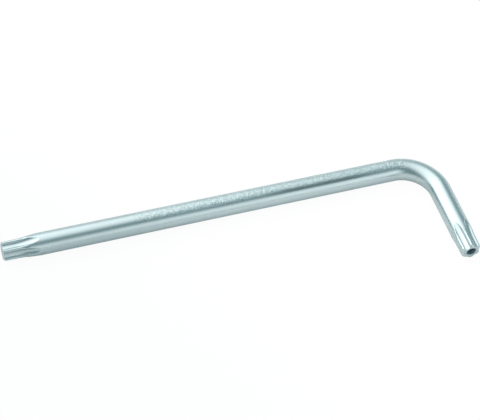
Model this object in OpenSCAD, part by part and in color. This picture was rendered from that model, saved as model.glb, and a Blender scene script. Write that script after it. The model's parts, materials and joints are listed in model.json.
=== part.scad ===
// Star key: one round bar bent to an L, with a six-lobed driving tip on each end.
// The key lies flat on its side. The long arm runs along X and the short arm points to -Y.
// The origin is at the middle of the overall box, on the surface that the key lies on.

/* [Bar] */
// Diameter of the round bar
bar_d = 7; // [6.8:0.1:8.2]
// Overall length of the long arm, from its end face to the outside of the bend
long_arm = 144; // [80:1:250]
// Overall length of the short arm, from its end face to the outside of the bend
short_arm = 41; // [32:1:80]
// Radius on the inside of the bend
bend_inner_r = 8.5; // [4:0.5:18]

/* [Star profile] */
// Diameter over the lobes
star_d = 6.67; // [6.3:0.01:6.8]
// Diameter between opposite flute floors
valley_d = 4.77; // [4.4:0.01:5]
// Radius of a lobe's round crest
lobe_r = 0.5; // [0.45:0.01:0.65]

/* [Star tips] */
// Length of the flutes on the long arm, from the end face to where they run out
long_flute = 11.4; // [8:0.1:20]
// Length of the flutes on the short arm, from the end face to where they run out
short_flute = 10.7; // [8:0.1:14]
// Turn of the long arm's star from a lobe pointing up, clockwise as seen from its end face
long_star_turn = -21.5; // [-30:0.5:30]
// Turn of the short arm's star from a lobe pointing up, clockwise as seen from its end face
short_star_turn = -4; // [-30:0.5:30]
// Slope in degrees of the flute floors where they run out
runout_slope = 13; // [9:0.5:20]
// Length of the cone that leads the lobes into the bar
lead_cone = 3; // [1:0.1:4]
// Distance from the lead cone's wide end to the end of the flutes
lead_cone_setback = 3.4; // [1:0.1:5]
// Bevel around each end face
end_bevel = 0.6; // [0.2:0.05:0.8]
// Plain round length between the end of the flutes and the shank
collar = 5; // [1:0.5:8]

/* [Pin hole] */
// Diameter of the hole in the short arm's end face
pin_hole_d = 3; // [2:0.1:3.4]
// Depth of the hole's straight wall
pin_hole_depth = 6; // [3:0.5:9]
// Bevel around the mouth of the hole
pin_hole_bevel = 0.2; // [0.1:0.05:0.4]
// Full angle in degrees of the hole's drilled point
drill_point = 118; // [90:1:140]

/* [Hidden] */
$fn = 96;

// How far a cutting shape runs past the surface that it cuts
overrun = 0.5;
// Flute radius as a share of the radius at which a flute would only touch the lobes beside it
flute_bite_share = 1.03;
// Radius of a flute's slope as a share of its level radius
slope_bite_share = 0.97;
// Start of the lead cone inside the lobe crests, as a share of the lobe radius
lead_cone_start_share = 0.7;

lobes = 6;
lobe_step = 360 / lobes;
bar_r = bar_d / 2;
star_r = star_d / 2;
valley_r = valley_d / 2;
bend_r = bend_inner_r + bar_r;

// Where the two arms' axes cross
corner = [long_arm / 2 - bar_r, short_arm / 2 - bar_r, bar_r];

// Lobe circles stand on lobe_centre_r, and flute circles on flute_centre_r, half a step on.
lobe_centre_r = star_r - lobe_r;
half_step_cos = cos(lobe_step / 2);
touching_flute_r = (pow(lobe_centre_r, 2) + pow(valley_r, 2) - pow(lobe_r, 2)
    - 2 * lobe_centre_r * valley_r * half_step_cos)
    / (2 * (lobe_centre_r * half_step_cos + lobe_r - valley_r));
flute_r = touching_flute_r * flute_bite_share;
flute_centre_r = valley_r + flute_r;

// Beyond its level stretch, a flute is a slightly narrower groove that slopes out of the bar.
slope_r = flute_r * slope_bite_share;
slope_step = flute_r - slope_r;
slope_rise = bar_r - valley_r - slope_step;

long_tip_length = long_flute + collar;
short_tip_length = short_flute + collar;
long_shank_length = long_arm - bar_r - bend_r - long_tip_length;
short_shank_length = short_arm - bar_r - bend_r - short_tip_length;

// Places its children with their Z axis level and heading in degrees from +X, and their X axis up
module along(start, heading) {
    translate(start)
        rotate([0, -90, heading - 180])
            children();
}

// Solid outline through the lobes, before the flutes are cut
module lobe_outline() {
    flute_way = [flute_centre_r * half_step_cos - lobe_centre_r, flute_centre_r * sin(lobe_step / 2)];
    touch = [lobe_centre_r, 0] + lobe_r * flute_way / norm(flute_way);
    touch_r = norm(touch);
    touch_angle = atan2(touch[1], touch[0]);
    polygon([
        for (i = [0 : lobes - 1], side = [-1, 1])
            let (angle = i * lobe_step + side * touch_angle)
            touch_r * [cos(angle), sin(angle)]
    ]);
    for (i = [0 : lobes - 1])
        rotate(i * lobe_step)
            translate([lobe_centre_r, 0])
                circle(r = lobe_r);
}

// Star blank from the end face to the wide end of the lead cone, with the bevel on its end
module star_blank(length) {
    wide_r = star_r + overrun;
    intersection() {
        linear_extrude(length)
            lobe_outline();
        rotate_extrude()
            polygon([
                [0, 0],
                [star_r - end_bevel, 0],
                [wide_r, end_bevel + overrun],
                [wide_r, length],
                [0, length]
            ]);
    }
}

// Round bar behind the star, with the cone that leads into it
module bar_stub(cone_end, length) {
    cone_start_r = star_r - lobe_r * lead_cone_start_share;
    rotate_extrude()
        polygon([
            [0, cone_end - lead_cone],
            [cone_start_r, cone_end - lead_cone],
            [bar_r, cone_end],
            [bar_r, length],
            [0, length]
        ]);
}

// Cutting shape of one flute: a level groove, and a groove that slopes from its floor out of the bar
module flute(length) {
    level = length - slope_rise / tan(runout_slope);
    slope_length = slope_rise / sin(runout_slope);
    translate([flute_centre_r, 0, -overrun])
        cylinder(r = flute_r, h = level + overrun);
    translate([valley_r + slope_step, 0, level])
        rotate([0, runout_slope, 0])
            translate([slope_r, 0, -slope_step])
                cylinder(r = slope_r, h = slope_step + slope_length + overrun);
}

// Six-lobed tip with its end face at zero, up to the shank
module star_tip(flute_length, length) {
    cone_end = flute_length - lead_cone_setback;
    difference() {
        union() {
            star_blank(cone_end);
            bar_stub(cone_end, length);
        }
        for (i = [0 : lobes - 1])
            rotate((i + 1 / 2) * lobe_step)
                flute(flute_length);
    }
}

// Blind drilled hole with a bevelled mouth and a drill point
module pin_hole() {
    hole_r = pin_hole_d / 2;
    mouth_r = hole_r + pin_hole_bevel;
    point_length = hole_r / tan(drill_point / 2);
    translate([0, 0, -overrun])
        cylinder(r = hole_r, h = pin_hole_depth + overrun);
    translate([0, 0, pin_hole_depth])
        cylinder(r1 = hole_r, r2 = 0, h = point_length);
    translate([0, 0, -overrun])
        cylinder(r1 = mouth_r + overrun, r2 = hole_r, h = pin_hole_bevel + overrun);
}

module long_star_tip() {
    color("silver")
        along([-long_arm / 2, corner[1], corner[2]], 0)
            rotate(long_star_turn)
                star_tip(long_flute, long_tip_length);
}

module long_shank() {
    color("lightgray")
        along([long_tip_length - long_arm / 2, corner[1], corner[2]], 0)
            cylinder(d = bar_d, h = long_shank_length);
}

module bend() {
    color("lightgray")
        translate(corner - [bend_r, bend_r, 0])
            rotate_extrude(angle = 90)
                translate([bend_r, 0])
                    circle(d = bar_d);
}

module short_shank() {
    color("lightgray")
        along([corner[0], short_tip_length - short_arm / 2, corner[2]], 90)
            cylinder(d = bar_d, h = short_shank_length);
}

module short_star_tip() {
    color("silver")
        along([corner[0], -short_arm / 2, corner[2]], 90)
            difference() {
                rotate(short_star_turn)
                    star_tip(short_flute, short_tip_length);
                pin_hole();
            }
}

long_star_tip();
long_shank();
bend();
short_shank();
short_star_tip();
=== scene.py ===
import json
import math

import bmesh
import bpy
from mathutils import Matrix, Vector


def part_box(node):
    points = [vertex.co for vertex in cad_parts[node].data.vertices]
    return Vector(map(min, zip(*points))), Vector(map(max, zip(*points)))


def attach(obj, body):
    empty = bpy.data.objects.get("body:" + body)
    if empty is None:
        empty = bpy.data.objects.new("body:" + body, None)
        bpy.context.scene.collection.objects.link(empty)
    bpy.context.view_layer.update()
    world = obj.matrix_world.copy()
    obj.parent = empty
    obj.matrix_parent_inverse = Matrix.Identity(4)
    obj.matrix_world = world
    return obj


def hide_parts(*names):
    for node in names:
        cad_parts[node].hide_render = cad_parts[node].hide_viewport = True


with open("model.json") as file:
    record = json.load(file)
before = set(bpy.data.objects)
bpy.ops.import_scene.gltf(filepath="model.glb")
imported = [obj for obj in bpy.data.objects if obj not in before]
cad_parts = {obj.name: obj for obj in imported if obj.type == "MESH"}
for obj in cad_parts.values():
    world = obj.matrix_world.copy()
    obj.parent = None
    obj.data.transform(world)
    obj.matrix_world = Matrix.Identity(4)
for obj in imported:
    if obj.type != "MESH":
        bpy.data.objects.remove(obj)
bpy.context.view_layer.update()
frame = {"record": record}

MM = 0.001
UP = Vector((0, 0, 1))

# The bar's centreline, from the frame: the long arm, a quarter turn and the short arm
mounts = {mount["name"]: mount for mount in frame["record"]["mounts"]}
long_end = Vector(mounts["long_arm_star"]["pos_m"])
short_end = Vector(mounts["short_arm_star"]["pos_m"])
bar_r = mounts["long_arm_shank"]["dims"]["r_mm"] * MM
hole_r = mounts["security_pin_hole"]["dims"]["r_mm"] * MM
corner = Vector((short_end.x, long_end.y, long_end.z))
bend_r = corner.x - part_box("bend")[0].x
bend_start = corner.x - bend_r - long_end.x
bend_end = bend_start + bend_r * math.pi / 2
bar_length = bend_end + corner.y - bend_r - short_end.y
long_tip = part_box("long_star_tip")[1].x - long_end.x
short_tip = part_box("short_star_tip")[1].y - short_end.y

# Star profile and flutes
LOBES = 6
HALF_STEP = math.pi / LOBES
STAR_R = 6.67 / 2 * MM
VALLEY_R = 4.77 / 2 * MM
LOBE_R = 0.5 * MM
FLUTE_R = 1.594 * MM
LONG_FLUTE = 11.4 * MM
SHORT_FLUTE = 10.7 * MM
RUNOUT_SLOPE = math.tan(math.radians(13))
RUNOUT_EASE = 2.4 * MM
LEAD_CONE = 3 * MM
LEAD_CONE_SETBACK = 3.4 * MM
RIM_R = 0.22 * MM
END_BEVEL = 0.6 * MM
END_BEVEL_EASE = 0.12 * MM

# Turn of a lobe from straight up, towards the inside of the bend
LONG_STAR_TURN = math.radians(-21.5)
SHORT_STAR_TURN = math.radians(4)

# Pin hole in the short arm's end
HOLE_DEPTH = 6 * MM
HOLE_BEVEL = 0.2 * MM
DRILL_POINT = math.radians(118)

# Mesh fineness: columns around the bar, the longest steps along it, and the least turn of a sharp edge
COLUMNS = 360
STAR_STEP = 0.1 * MM
LOBE_STEP = 4 * STAR_STEP
BEVEL_STEP = STAR_STEP / 2
SHANK_STEP = 1.5 * MM
BEND_STEP = SHANK_STEP / 4
SEAM_STEP = 0.02 * MM
SHARP_TURN = math.radians(38)


def smoothstep(value, low, high):
    """Smooth rise from 0 to 1 as value goes from low to high."""
    share = min(1, max(0, (value - low) / (high - low)))
    return share * share * (3 - 2 * share)


def bar_frame(s):
    """Point of the bar's centreline at arc length s from the long arm's end, and its heading."""
    if s <= bend_start:
        return long_end + Vector((s, 0, 0)), Vector((1, 0, 0))
    turn = min((s - bend_start) / bend_r, math.pi / 2)
    heading = Vector((math.cos(turn), -math.sin(turn), 0))
    outwards = Vector((math.sin(turn), math.cos(turn), 0))
    centre = corner - Vector((bend_r, bend_r, 0))
    return centre + bend_r * outwards + max(s - bend_end, 0) * heading, heading


def fluted_radius(angle, crest_r, floor_r, edge_r):
    """Radius of a fluted section, with flute floors at floor_r, crests at crest_r and edges of edge_r.
    The angle is counted from the middle of a lobe."""
    if floor_r >= crest_r:
        return crest_r
    from_flute = abs(angle % (2 * HALF_STEP) - HALF_STEP)
    flute_at = floor_r + FLUTE_R
    reach = FLUTE_R + edge_r
    edge_centre = crest_r - edge_r
    edge_cos = (edge_centre**2 + flute_at**2 - reach**2) / (2 * edge_centre * flute_at)
    edge_angle = math.acos(min(1, edge_cos))
    if edge_angle > HALF_STEP:
        edge_angle = HALF_STEP
        half_width = flute_at * math.sin(HALF_STEP)
        edge_centre = flute_at * math.cos(HALF_STEP) - math.sqrt(reach**2 - half_width**2)
    share = FLUTE_R / reach
    meet_x = flute_at + share * (edge_centre * math.cos(edge_angle) - flute_at)
    meet_y = share * edge_centre * math.sin(edge_angle)
    if from_flute < math.atan2(meet_y, meet_x):
        sideways = flute_at * math.sin(from_flute)
        return flute_at * math.cos(from_flute) - math.sqrt(FLUTE_R**2 - sideways**2)
    if from_flute < edge_angle:
        off = edge_angle - from_flute
        return edge_centre * math.cos(off) + math.sqrt(edge_r**2 - (edge_centre * math.sin(off))**2)
    return edge_centre + edge_r


def soft_min(a, b, ease):
    """The lesser of two values, rounded off where they are within ease of each other."""
    share = max(ease - abs(a - b), 0) / ease
    return min(a, b) - share * share * ease / 4


def star_radius(angle, depth, flute_length):
    """Radius of a star tip at a depth from its end face, with the angle from the middle of a lobe."""
    cone_end = flute_length - LEAD_CONE_SETBACK
    crest_r = STAR_R + (bar_r - STAR_R) * smoothstep(depth, cone_end - LEAD_CONE / 2, cone_end)
    edge_r = LOBE_R + (RIM_R - LOBE_R) * smoothstep(depth, cone_end - LEAD_CONE, cone_end)
    past = depth - flute_length + (bar_r - VALLEY_R) / RUNOUT_SLOPE
    if abs(past) < RUNOUT_EASE:
        past = (past + RUNOUT_EASE)**2 / (4 * RUNOUT_EASE)
    floor_r = VALLEY_R + max(past, 0) * RUNOUT_SLOPE
    radius = fluted_radius(angle, crest_r, floor_r, edge_r)
    return soft_min(radius, STAR_R - END_BEVEL + depth, END_BEVEL_EASE)


def steps(start, end, longest):
    """Evenly spaced values from start to end, both included, at most longest apart."""
    count = max(1, math.ceil(abs(end - start) / longest))
    return [start + (end - start) * i / count for i in range(count + 1)]


def seamed(start, end, longest):
    """As steps, with an extra value just inside each end, so that shading runs on into the next piece."""
    inset = math.copysign(SEAM_STEP, end - start)
    return [start, *steps(start + inset, end - inset, longest), end]


def ring(s, radius_at):
    """Points around the bar at arc length s, each with its place along and across the straightened bar."""
    point, heading = bar_frame(s)
    inside = heading.cross(UP)
    made = []
    for column in range(COLUMNS):
        angle = 2 * math.pi * column / COLUMNS
        radius = radius_at(angle)
        up, across = radius * math.cos(angle), radius * math.sin(angle)
        made.append((point + up * UP + across * inside, Vector((s, up, across))))
    return made


def bar_mesh(name, rings):
    """Closed mesh through the rings in turn. The first and last are closed by fans."""
    mesh = bpy.data.meshes.new(name)
    made = bmesh.new()
    place = made.verts.layers.float_vector.new("bar_place")

    def vertex(point, spot):
        v = made.verts.new(point)
        v[place] = spot
        return v

    rows = [[vertex(*spot) for spot in row] for row in rings]
    for row, following in zip(rows, rows[1:]):
        for i in range(COLUMNS):
            j = (i + 1) % COLUMNS
            made.faces.new((row[i], row[j], following[j], following[i]))
    for row, points in ((rows[0], rings[0]), (rows[-1], rings[-1])):
        point = sum((p for p, spot in points), Vector()) / COLUMNS
        spot = sum((spot for p, spot in points), Vector()) / COLUMNS
        middle = vertex(point, spot)
        for i in range(COLUMNS):
            made.faces.new((row[i], row[(i + 1) % COLUMNS], middle))
    bmesh.ops.recalc_face_normals(made, faces=made.faces)
    made.to_mesh(mesh)
    made.free()
    mesh.shade_smooth()
    mesh.set_sharp_from_angle(angle=SHARP_TURN)
    piece = bpy.data.objects.new(name, mesh)
    bpy.context.scene.collection.objects.link(piece)
    return piece


def round_rings(start, end, longest):
    return [ring(s, lambda angle: bar_r) for s in seamed(start, end, longest)]


def tip_rings(length, flute_length, turn, place):
    """Rings of a star tip from the shank to its end face. place turns a depth into an arc length."""
    cone_start = flute_length - LEAD_CONE_SETBACK - LEAD_CONE
    near_end = 2 * END_BEVEL
    depths = seamed(length, flute_length + STAR_STEP, SHANK_STEP)
    depths += steps(flute_length, cone_start, STAR_STEP)
    depths += steps(cone_start - 2 * STAR_STEP, near_end, LOBE_STEP)
    depths += steps(near_end - STAR_STEP, 0, BEVEL_STEP)

    def at_depth(depth):
        return ring(place(depth), lambda angle: star_radius(angle - turn, depth, flute_length))

    return [at_depth(depth) for depth in depths]


def hole_rings(place):
    """Rings down the pin hole: its bevelled mouth, its wall and its drilled point."""
    floor = HOLE_DEPTH + hole_r / math.tan(DRILL_POINT / 2)
    profile = [(0, hole_r + HOLE_BEVEL), (HOLE_BEVEL, hole_r), (HOLE_DEPTH, hole_r), (floor, SEAM_STEP)]
    return [ring(place(depth), lambda angle, radius=radius: radius) for depth, radius in profile]


def from_long_end(depth):
    return depth


def from_short_end(depth):
    return bar_length - depth


def make_pieces():
    """One closed mesh for each stretch of the bar, under the name of the node that it stands for."""
    short_star = tip_rings(short_tip, SHORT_FLUTE, SHORT_STAR_TURN, from_short_end)
    stretches = {
        "long_star_tip": tip_rings(long_tip, LONG_FLUTE, LONG_STAR_TURN, from_long_end),
        "long_shank": round_rings(long_tip, bend_start, SHANK_STEP),
        "bend": round_rings(bend_start, bend_end, BEND_STEP),
        "short_shank": round_rings(bend_end, bar_length - short_tip, SHANK_STEP),
        "short_star_tip": short_star + hole_rings(from_short_end),
    }
    return {node: bar_mesh(node + "_steel", rings) for node, rings in stretches.items()}


def add_node(tree, kind, values=None, **options):
    """New shader node with its options and input values set. A value that is a socket is linked."""
    node = tree.nodes.new("ShaderNode" + kind)
    for name, option in options.items():
        setattr(node, name, option)
    for key, value in (values or {}).items():
        if isinstance(value, bpy.types.NodeSocket):
            tree.links.new(value, node.inputs[key])
        else:
            node.inputs[key].default_value = value
    return node


def calculate(tree, operation, *values):
    return add_node(tree, "Math", dict(enumerate(values)), operation=operation).outputs[0]


def product(tree, a, b):
    return calculate(tree, "MULTIPLY", a, b)


def ramp(tree, value, start, end, low=0, high=1):
    """Smooth change from low to high as value goes from start to end."""
    ends = {"Value": value, "From Min": start, "From Max": end, "To Min": low, "To Max": high}
    return add_node(tree, "MapRange", ends, interpolation_type="SMOOTHSTEP").outputs["Result"]


def band(tree, value, rise, full, fall, end):
    """Share that rises to 1 from rise to full, and drops back to 0 from fall to end."""
    return product(tree, ramp(tree, value, rise, full), ramp(tree, value, end, fall))


def mixed(tree, share, a, b):
    """Colour that goes from a to b as share goes from 0 to 1."""
    mix = add_node(tree, "Mix", data_type="RGBA", clamp_result=False)
    for key, value in (("Factor", share), ("A", a), ("B", b)):
        socket = next(i for i in mix.inputs if i.name == key and i.type in ("RGBA", "VALUE") and i.enabled)
        if isinstance(value, bpy.types.NodeSocket):
            tree.links.new(value, socket)
        else:
            socket.default_value = value
    return next(o for o in mix.outputs if o.enabled)


def noise(tree, place, sizes, detail):
    """Noise from 0 to 1 whose features have the given sizes along the bar and across it."""
    along, across = (1 / size for size in sizes)
    scaled = add_node(tree, "VectorMath", {0: place, 1: (along, across, across)}, operation="MULTIPLY")
    made = add_node(tree, "TexNoise", {"Vector": scaled.outputs[0], "Scale": 1, "Detail": detail})
    return made.outputs["Fac"]


def relief(tree, pattern, height):
    """Height to both sides of zero from a noise, so that where it fades out, the surface stays level."""
    return product(tree, calculate(tree, "SUBTRACT", pattern, NOISE_MIDDLE), height)


# Satin chrome, with clouds in its colour and roughness: their sizes along and across the bar, and detail
CHROME_COLOUR = (0.45, 0.545, 0.555, 1)
CLOUD_COLOUR = (0.43, 0.515, 0.525, 1)
EDGE_TINT = (0.88, 0.93, 0.94, 1)
CHROME_ROUGHNESS = 0.28
ROUGHNESS_SPREAD = 0.06
CLOUD_SIZES = (9 * MM, 3 * MM)
CLOUD_DETAIL = 3

# Relief of the drawn and lightly blasted bar: feature sizes along and across it, detail and height
NOISE_MIDDLE = 0.5
SPECKLE_SIZES = (0.5 * MM, 0.45 * MM)
SPECKLE_DETAIL = 2
SPECKLE_HEIGHT = 0.13 * MM
MOTTLE_SIZES = (1.6 * MM, 1.1 * MM)
MOTTLE_DETAIL = 1
MOTTLE_HEIGHT = 0.06 * MM
DRAWN_SIZES = (20 * MM, 0.2 * MM)
DRAWN_DETAIL = 2
DRAWN_HEIGHT = 0.0015 * MM

# The long arm's upper side is worn coarse between two places, counted from its end. It fades out beyond
# them and down the sides, between two heights above the axis that are shares of the bar's radius. The
# smooth share of the blasted relief stays everywhere else.
COARSE_START = 46 * MM
COARSE_END = 130 * MM
COARSE_FADE = 6 * MM
COARSE_HEIGHTS = (0.78, 0.93)
SPECK_HEIGHTS = (0.68, 0.86)
SMOOTH_SHARE = 0.1

# Colours there: worn specks on a brighter plate, and the range of the grain over which specks come in
WORN_COLOUR = (0.485, 0.59, 0.6, 1)
SPECK_COLOUR = (0.385, 0.47, 0.48, 1)
SPECK_RANGE = (0.4, 0.6)

# A darker streak that is painted dark reflection: it darkens the band where the upper side mirrors the dim
# room. Where it rises, is full, falls and ends, counted from the long arm's end, and towards the inside of
# the bend as shares of the bar's radius
PAINTED_REFLECTION_COLOUR = (0.275, 0.335, 0.34, 1)
PAINTED_REFLECTION_ALONG = (80 * MM, 94 * MM, 112 * MM, 124 * MM)
PAINTED_REFLECTION_ACROSS = (0.25, 0.45, 0.58, 0.68)

# Dull steel inside the pin hole
BORE_COLOUR = (0.2, 0.3, 0.34, 1)
BORE_ROUGHNESS = 0.6
BORE_METALLIC = 0.3


def worn_shares(tree, along, up):
    """Shares of the long arm's worn upper side, for its coarse relief and for its specks."""
    fade_in, fade_out = COARSE_START - COARSE_FADE, COARSE_END + COARSE_FADE
    lengthwise = band(tree, along, fade_in, COARSE_START, COARSE_END, fade_out)
    return [
        product(tree, lengthwise, ramp(tree, up, low * bar_r, high * bar_r))
        for low, high in (COARSE_HEIGHTS, SPECK_HEIGHTS)]


def painted_reflection_share(tree, along, up, across):
    """Share of the painted dark reflection, a darker streak on the upper half of the bar only."""
    crosswise = band(tree, across, *(share * bar_r for share in PAINTED_REFLECTION_ACROSS))
    painted_reflection = product(tree, crosswise, band(tree, along, *PAINTED_REFLECTION_ALONG))
    return product(tree, painted_reflection, calculate(tree, "GREATER_THAN", up, 0))


def bore_share(tree, along, up, across):
    """Share that is 1 inside the pin hole and 0 on the rest of the bar."""
    around = add_node(tree, "CombineXYZ", {"Y": up, "Z": across}).outputs[0]
    radius = add_node(tree, "VectorMath", {0: around}, operation="LENGTH").outputs["Value"]
    within = ramp(tree, radius, hole_r + HOLE_BEVEL, hole_r)
    return product(tree, within, calculate(tree, "GREATER_THAN", along, bar_length / 2))


def finish_height(tree, place, grain, coarse):
    """Height of the finish: drawn lines all over, and a blasted grain that is full where it is coarse."""
    speckle = relief(tree, grain, SPECKLE_HEIGHT)
    mottle = relief(tree, noise(tree, place, MOTTLE_SIZES, MOTTLE_DETAIL), MOTTLE_HEIGHT)
    drawn = relief(tree, noise(tree, place, DRAWN_SIZES, DRAWN_DETAIL), DRAWN_HEIGHT)
    share = ramp(tree, coarse, 0, 1, SMOOTH_SHARE, 1)
    blasted = product(tree, calculate(tree, "ADD", speckle, mottle), share)
    return calculate(tree, "ADD", blasted, drawn)


def chrome(name):
    """Satin chrome, worn on the long arm's upper side, with a painted dark reflection there and dull steel
    inside the pin hole.
    """
    material = bpy.data.materials.new(name)
    material.use_nodes = True
    tree = material.node_tree
    shader = tree.nodes["Principled BSDF"]
    place = add_node(tree, "Attribute", attribute_name="bar_place").outputs["Vector"]
    along, up, across = add_node(tree, "SeparateXYZ", {0: place}).outputs
    coarse, specked = worn_shares(tree, along, up)
    painted_reflection = painted_reflection_share(tree, along, up, across)
    bore = bore_share(tree, along, up, across)
    grain = noise(tree, place, SPECKLE_SIZES, SPECKLE_DETAIL)
    clouds = noise(tree, place, CLOUD_SIZES, CLOUD_DETAIL)

    plate = mixed(tree, clouds, CHROME_COLOUR, CLOUD_COLOUR)
    worn = mixed(tree, ramp(tree, grain, *SPECK_RANGE), WORN_COLOUR, SPECK_COLOUR)
    plate = mixed(tree, specked, plate, worn)
    # Painted dark reflection: a darker streak where the bar's upper side mirrors the dim room
    plate = mixed(tree, painted_reflection, plate, PAINTED_REFLECTION_COLOUR)
    smoothest = CHROME_ROUGHNESS - ROUGHNESS_SPREAD / 2
    rough = calculate(tree, "MULTIPLY_ADD", clouds, ROUGHNESS_SPREAD, smoothest)
    height = finish_height(tree, place, grain, coarse)
    bump = add_node(tree, "Bump", {"Strength": 1, "Distance": 1, "Height": height})
    surface = {
        "Base Color": mixed(tree, bore, plate, BORE_COLOUR),
        "Roughness": calculate(tree, "MULTIPLY_ADD", bore, BORE_ROUGHNESS - CHROME_ROUGHNESS, rough),
        "Metallic": calculate(tree, "MULTIPLY_ADD", bore, BORE_METALLIC - 1, 1),
        "Normal": bump.outputs["Normal"],
    }
    for key, socket in surface.items():
        tree.links.new(socket, shader.inputs[key])
    shader.inputs["Specular Tint"].default_value = EDGE_TINT
    return material


# Camera, as the photograph was taken
CAMERA_AT = Vector((-146.97, -318.23, 449.88)) * MM
CAMERA_RIGHT = Vector((0.94473, -0.31734, 0.08232))
CAMERA_UP = Vector((0.19831, 0.7531, 0.62731))
CAMERA_LENS = 137.69
SENSOR_WIDTH = 36


def add_camera():
    data = bpy.data.cameras.new("camera")
    data.lens = CAMERA_LENS
    data.sensor_width = SENSOR_WIDTH
    camera = bpy.data.objects.new("camera", data)
    back = CAMERA_RIGHT.cross(CAMERA_UP)
    turn = Matrix((CAMERA_RIGHT, CAMERA_UP, back)).transposed()
    camera.matrix_world = Matrix.Translation(CAMERA_AT) @ turn.to_4x4()
    bpy.context.scene.collection.objects.link(camera)
    bpy.context.scene.camera = camera


# White sweep: a flat round floor whose rim curves up all around
FLOOR_R = 2.2
FLOOR_MIDDLE_R = FLOOR_R / 2
SWEEP_R = 0.7
SWEEP_TURN = math.radians(70)
SWEEP_COLUMNS = 96
SWEEP_ROWS = 12
FLOOR_COLOUR = (0.97, 0.94, 0.935, 1)

# Painted shade: the floor gets darker to the front left, so that the metal mirrors a shaded floor there.
# The way that this is counted along, and its start and end there
FLOOR_SHADE_COLOUR = (0.66, 0.695, 0.705, 1)
FLOOR_SHADE_WAY = (1, 0.5, 0)
FLOOR_SHADE_START = 0.015
FLOOR_SHADE_END = -0.055

# Shares of the floor that show as plain white, to the camera and in the metal
WHITE = (1, 1, 1, 1)
SEEN_GLOW_SHARE = 0.95
MIRRORED_GLOW_SHARE = 0.27


def floor_material():
    """White paper with painted shade, darker at the front left. It shows partly as plain white, so its
    shadow is faint.
    """
    material = bpy.data.materials.new("floor")
    material.use_nodes = True
    tree = material.node_tree
    shader = tree.nodes["Principled BSDF"]
    place = add_node(tree, "TexCoord").outputs["Object"]
    far = add_node(tree, "VectorMath", {0: place, 1: FLOOR_SHADE_WAY}, operation="DOT_PRODUCT").outputs["Value"]
    # Painted shade: the paper darkens towards the front left
    paper_and_shade = mixed(tree, ramp(tree, far, FLOOR_SHADE_START, FLOOR_SHADE_END), FLOOR_COLOUR, FLOOR_SHADE_COLOUR)
    tree.links.new(paper_and_shade, shader.inputs["Base Color"])
    shader.inputs["Roughness"].default_value = 1
    shader.inputs["Specular IOR Level"].default_value = 0
    rays = add_node(tree, "LightPath").outputs
    seen = product(tree, rays["Is Camera Ray"], SEEN_GLOW_SHARE)
    mirrored = calculate(tree, "MAXIMUM", rays["Is Glossy Ray"], rays["Is Transmission Ray"])
    share = calculate(tree, "MULTIPLY_ADD", mirrored, MIRRORED_GLOW_SHARE, seen)
    glow = add_node(tree, "Emission", {"Color": WHITE, "Strength": 1}).outputs[0]
    mix = add_node(tree, "MixShader", {0: share, 1: shader.outputs[0], 2: glow})
    tree.links.new(mix.outputs[0], tree.nodes["Material Output"].inputs["Surface"])
    return material


def add_floor():
    made = bmesh.new()
    profile = [(FLOOR_MIDDLE_R, 0)]
    for row in range(SWEEP_ROWS + 1):
        turn = SWEEP_TURN * row / SWEEP_ROWS
        profile.append((FLOOR_R + SWEEP_R * math.sin(turn), SWEEP_R * (1 - math.cos(turn))))
    angles = [2 * math.pi * column / SWEEP_COLUMNS for column in range(SWEEP_COLUMNS)]
    rows = [[made.verts.new((r * math.cos(a), r * math.sin(a), z)) for a in angles] for r, z in profile]
    made.faces.new(rows[0])
    for row, following in zip(rows, rows[1:]):
        for i in range(SWEEP_COLUMNS):
            j = (i + 1) % SWEEP_COLUMNS
            made.faces.new((row[i], following[i], following[j], row[j]))
    mesh = bpy.data.meshes.new("floor")
    made.to_mesh(mesh)
    made.free()
    mesh.shade_smooth()
    mesh.materials.append(floor_material())
    floor = bpy.data.objects.new("floor", mesh)
    bpy.context.scene.collection.objects.link(floor)


# Studio: a dim room with soft light panels, each round as seen from the key.
# Azimuth runs from +X towards +Y, and edge is the width of a panel's soft border. Angles are in degrees.
ROOM = (0.28, 0.4, 0.43)
PANELS = [
    dict(name="wall_behind", azimuth=46, elevation=-2, radius=37, edge=21, colour=(0.62, 0.7, 0.69)),
    dict(name="front_fill", azimuth=299, elevation=18, radius=24, edge=26, colour=(1.6, 1.6, 1.6)),
    dict(name="main_softbox", azimuth=133, elevation=48, radius=51, edge=30, colour=(1.81, 1.81, 1.81)),
    dict(name="softbox_lamp", azimuth=126, elevation=31, radius=30, edge=38, colour=(2.83, 2.83, 2.83)),
    dict(name="side_card", azimuth=16, elevation=38, radius=24, edge=31, colour=(0.345, 0.535, 0.58)),
]


def add_world():
    world = bpy.data.worlds.new("studio")
    world.use_nodes = True
    tree = world.node_tree
    place = add_node(tree, "TexCoord").outputs["Generated"]
    seen = (*ROOM, 1)
    for panel in PANELS:
        azimuth, elevation = math.radians(panel["azimuth"]), math.radians(panel["elevation"])
        level = math.cos(elevation)
        middle = (level * math.cos(azimuth), level * math.sin(azimuth), math.sin(elevation))
        facing = add_node(
            tree, "VectorMath", {0: place, 1: middle}, operation="DOT_PRODUCT", label=panel["name"])
        off = calculate(tree, "ARCCOSINE", facing.outputs["Value"])
        outer, inner = (math.radians(panel["radius"] + side * panel["edge"] / 2) for side in (1, -1))
        seen = mixed(tree, ramp(tree, off, outer, inner), seen, (*panel["colour"], 1))
    tree.links.new(seen, tree.nodes["Background"].inputs["Color"])
    bpy.context.scene.world = world


bpy.context.scene.view_settings.view_transform = "Standard"

slots = {part["node"]: part["material_slot"] for part in frame["record"]["subparts"]}
materials = {slot: chrome(slot) for slot in sorted(set(slots.values()))}
for node, piece in make_pieces().items():
    piece.data.materials.append(materials[slots[node]])
    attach(piece, "root")
    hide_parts(node)

add_camera()
add_floor()
add_world()
